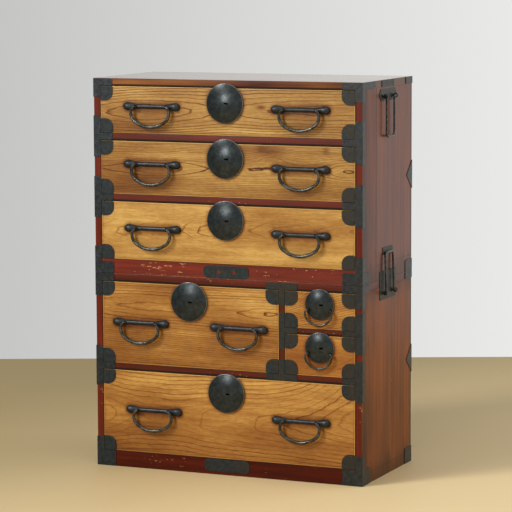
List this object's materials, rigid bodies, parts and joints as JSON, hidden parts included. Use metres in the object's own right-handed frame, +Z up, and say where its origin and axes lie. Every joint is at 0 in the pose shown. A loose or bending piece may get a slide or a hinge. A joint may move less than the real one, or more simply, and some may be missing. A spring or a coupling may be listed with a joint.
{
  "type": "clothing chest",
  "caption": "Two stacked wooden drawer sections with sheet-iron corners, round lock plates, bail handles on the drawers and carrying bails on the sides.",
  "frame": {"origin": "on the floor, under the middle of the whole object's box", "axes": "+Z up, drawers open towards -Y, +X to the right seen from the front"},
  "size_m": [0.8358, 0.4054, 1.1],
  "materials": {
    "red_lacquer": "glossy translucent red-brown lacquer, worn along the edges",
    "front_wood": "satin honey-coloured hardwood with strong dark grain",
    "inner_wood": "plain pale softwood, unfinished",
    "iron": "black patinated sheet and forged iron with soft highlights"
  },
  "bodies": {
    "lower_chest": {"lower_side_left": "red_lacquer", "lower_side_right": "red_lacquer", "lower_top_board": "red_lacquer", "lower_base": "red_lacquer", "lower_back_boards": "inner_wood", "lower_shelf": "red_lacquer", "lower_divider": "red_lacquer", "lower_small_shelf": "red_lacquer", "lower_ironwork": "iron"},
    "upper_chest": {"upper_side_left": "red_lacquer", "upper_side_right": "red_lacquer", "upper_top_board": "red_lacquer", "upper_base": "red_lacquer", "upper_back_boards": "inner_wood", "upper_shelves": "red_lacquer", "upper_ironwork": "iron"},
    "top_drawer": {"top_drawer_front": "front_wood", "top_drawer_tray": "inner_wood", "top_drawer_ironwork": "iron"},
    "top_drawer_bolt": {"top_drawer_bolt": "iron"},
    "top_drawer_bail_left": {"top_drawer_bail_left": "iron"},
    "top_drawer_bail_right": {"top_drawer_bail_right": "iron"},
    "second_drawer": {"second_drawer_front": "front_wood", "second_drawer_tray": "inner_wood", "second_drawer_ironwork": "iron"},
    "second_drawer_bolt": {"second_drawer_bolt": "iron"},
    "second_drawer_bail_left": {"second_drawer_bail_left": "iron"},
    "second_drawer_bail_right": {"second_drawer_bail_right": "iron"},
    "third_drawer": {"third_drawer_front": "front_wood", "third_drawer_tray": "inner_wood", "third_drawer_ironwork": "iron"},
    "third_drawer_bolt": {"third_drawer_bolt": "iron"},
    "third_drawer_bail_left": {"third_drawer_bail_left": "iron"},
    "third_drawer_bail_right": {"third_drawer_bail_right": "iron"},
    "wide_drawer": {"wide_drawer_front": "front_wood", "wide_drawer_tray": "inner_wood", "wide_drawer_ironwork": "iron"},
    "wide_drawer_bolt": {"wide_drawer_bolt": "iron"},
    "wide_drawer_bail_left": {"wide_drawer_bail_left": "iron"},
    "wide_drawer_bail_right": {"wide_drawer_bail_right": "iron"},
    "small_upper_drawer": {"small_upper_drawer_front": "front_wood", "small_upper_drawer_tray": "inner_wood", "small_upper_drawer_ironwork": "iron"},
    "small_upper_drawer_bolt": {"small_upper_drawer_bolt": "iron"},
    "small_upper_drawer_bail": {"small_upper_drawer_bail": "iron"},
    "small_lower_drawer": {"small_lower_drawer_front": "front_wood", "small_lower_drawer_tray": "inner_wood", "small_lower_drawer_ironwork": "iron"},
    "small_lower_drawer_bolt": {"small_lower_drawer_bolt": "iron"},
    "small_lower_drawer_bail": {"small_lower_drawer_bail": "iron"},
    "bottom_drawer": {"bottom_drawer_front": "front_wood", "bottom_drawer_tray": "inner_wood", "bottom_drawer_ironwork": "iron"},
    "bottom_drawer_bolt": {"bottom_drawer_bolt": "iron"},
    "bottom_drawer_bail_left": {"bottom_drawer_bail_left": "iron"},
    "bottom_drawer_bail_right": {"bottom_drawer_bail_right": "iron"},
    "upper_carry_bail_left": {"upper_carry_bail_left": "iron"},
    "lower_carry_bail_left": {"lower_carry_bail_left": "iron"},
    "upper_carry_bail_right": {"upper_carry_bail_right": "iron"},
    "lower_carry_bail_right": {"lower_carry_bail_right": "iron"}
  },
  "joints": [
    {"name": "upper_chest_lift", "type": "slide", "parent": "lower_chest", "child": "upper_chest", "axis": [0, 0, 1], "range_m": [0, 0.16]},
    {"name": "top_drawer_slide", "type": "slide", "parent": "upper_chest", "child": "top_drawer", "axis": [0, -1, 0], "range_m": [0, 0.33]},
    {"name": "top_drawer_bolt_slide", "type": "slide", "parent": "top_drawer", "child": "top_drawer_bolt", "axis": [0, 0, 1], "range_m": [0, 0.008]},
    {"name": "top_drawer_bail_left_swing", "type": "hinge", "parent": "top_drawer", "child": "top_drawer_bail_left", "pos_m": [-0.2235, -0.1968, 1.023], "axis": [-1, 0, 0], "range_deg": [0, 170]},
    {"name": "top_drawer_bail_right_swing", "type": "hinge", "parent": "top_drawer", "child": "top_drawer_bail_right", "pos_m": [0.2235, -0.1968, 1.023], "axis": [-1, 0, 0], "range_deg": [0, 170]},
    {"name": "second_drawer_slide", "type": "slide", "parent": "upper_chest", "child": "second_drawer", "axis": [0, -1, 0], "range_m": [0, 0.33]},
    {"name": "second_drawer_bolt_slide", "type": "slide", "parent": "second_drawer", "child": "second_drawer_bolt", "axis": [0, 0, 1], "range_m": [0, 0.008]},
    {"name": "second_drawer_bail_left_swing", "type": "hinge", "parent": "second_drawer", "child": "second_drawer_bail_left", "pos_m": [-0.2235, -0.1968, 0.862], "axis": [-1, 0, 0], "range_deg": [0, 170]},
    {"name": "second_drawer_bail_right_swing", "type": "hinge", "parent": "second_drawer", "child": "second_drawer_bail_right", "pos_m": [0.2235, -0.1968, 0.862], "axis": [-1, 0, 0], "range_deg": [0, 170]},
    {"name": "third_drawer_slide", "type": "slide", "parent": "upper_chest", "child": "third_drawer", "axis": [0, -1, 0], "range_m": [0, 0.33]},
    {"name": "third_drawer_bolt_slide", "type": "slide", "parent": "third_drawer", "child": "third_drawer_bolt", "axis": [0, 0, 1], "range_m": [0, 0.008]},
    {"name": "third_drawer_bail_left_swing", "type": "hinge", "parent": "third_drawer", "child": "third_drawer_bail_left", "pos_m": [-0.2235, -0.1968, 0.682], "axis": [-1, 0, 0], "range_deg": [0, 170]},
    {"name": "third_drawer_bail_right_swing", "type": "hinge", "parent": "third_drawer", "child": "third_drawer_bail_right", "pos_m": [0.2235, -0.1968, 0.682], "axis": [-1, 0, 0], "range_deg": [0, 170]},
    {"name": "wide_drawer_slide", "type": "slide", "parent": "lower_chest", "child": "wide_drawer", "axis": [0, -1, 0], "range_m": [0, 0.33]},
    {"name": "wide_drawer_bolt_slide", "type": "slide", "parent": "wide_drawer", "child": "wide_drawer_bolt", "axis": [0, 0, 1], "range_m": [0, 0.008]},
    {"name": "wide_drawer_bail_left_swing", "type": "hinge", "parent": "wide_drawer", "child": "wide_drawer_bail_left", "pos_m": [-0.26225, -0.1968, 0.415], "axis": [-1, 0, 0], "range_deg": [0, 170]},
    {"name": "wide_drawer_bail_right_swing", "type": "hinge", "parent": "wide_drawer", "child": "wide_drawer_bail_right", "pos_m": [0.03775, -0.1968, 0.415], "axis": [-1, 0, 0], "range_deg": [0, 170]},
    {"name": "small_upper_drawer_slide", "type": "slide", "parent": "lower_chest", "child": "small_upper_drawer", "axis": [0, -1, 0], "range_m": [0, 0.33]},
    {"name": "small_upper_drawer_bolt_slide", "type": "slide", "parent": "small_upper_drawer", "child": "small_upper_drawer_bolt", "axis": [0, 0, 1], "range_m": [0, 0.008]},
    {"name": "small_upper_drawer_bail_swing", "type": "hinge", "parent": "small_upper_drawer", "child": "small_upper_drawer_bail", "pos_m": [0.27875, -0.1952, 0.48], "axis": [-1, 0, 0], "range_deg": [0, 150]},
    {"name": "small_lower_drawer_slide", "type": "slide", "parent": "lower_chest", "child": "small_lower_drawer", "axis": [0, -1, 0], "range_m": [0, 0.33]},
    {"name": "small_lower_drawer_bolt_slide", "type": "slide", "parent": "small_lower_drawer", "child": "small_lower_drawer_bolt", "axis": [0, 0, 1], "range_m": [0, 0.008]},
    {"name": "small_lower_drawer_bail_swing", "type": "hinge", "parent": "small_lower_drawer", "child": "small_lower_drawer_bail", "pos_m": [0.27875, -0.1952, 0.361], "axis": [-1, 0, 0], "range_deg": [0, 150]},
    {"name": "bottom_drawer_slide", "type": "slide", "parent": "lower_chest", "child": "bottom_drawer", "axis": [0, -1, 0], "range_m": [0, 0.33]},
    {"name": "bottom_drawer_bolt_slide", "type": "slide", "parent": "bottom_drawer", "child": "bottom_drawer_bolt", "axis": [0, 0, 1], "range_m": [0, 0.008]},
    {"name": "bottom_drawer_bail_left_swing", "type": "hinge", "parent": "bottom_drawer", "child": "bottom_drawer_bail_left", "pos_m": [-0.2235, -0.1968, 0.1675], "axis": [-1, 0, 0], "range_deg": [0, 170]},
    {"name": "bottom_drawer_bail_right_swing", "type": "hinge", "parent": "bottom_drawer", "child": "bottom_drawer_bail_right", "pos_m": [0.2235, -0.1968, 0.1675], "axis": [-1, 0, 0], "range_deg": [0, 170]},
    {"name": "upper_carry_bail_left_swing", "type": "hinge", "parent": "upper_chest", "child": "upper_carry_bail_left", "pos_m": [-0.411, 0.0087, 1.055], "axis": [0, 1, 0], "range_deg": [0, 175]},
    {"name": "lower_carry_bail_left_swing", "type": "hinge", "parent": "lower_chest", "child": "lower_carry_bail_left", "pos_m": [-0.411, 0.0087, 0.514], "axis": [0, 1, 0], "range_deg": [-180, 0]},
    {"name": "upper_carry_bail_right_swing", "type": "hinge", "parent": "upper_chest", "child": "upper_carry_bail_right", "pos_m": [0.411, 0.0087, 1.055], "axis": [0, -1, 0], "range_deg": [0, 175]},
    {"name": "lower_carry_bail_right_swing", "type": "hinge", "parent": "lower_chest", "child": "lower_carry_bail_right", "pos_m": [0.411, 0.0087, 0.514], "axis": [0, -1, 0], "range_deg": [-180, 0]}
  ]
}
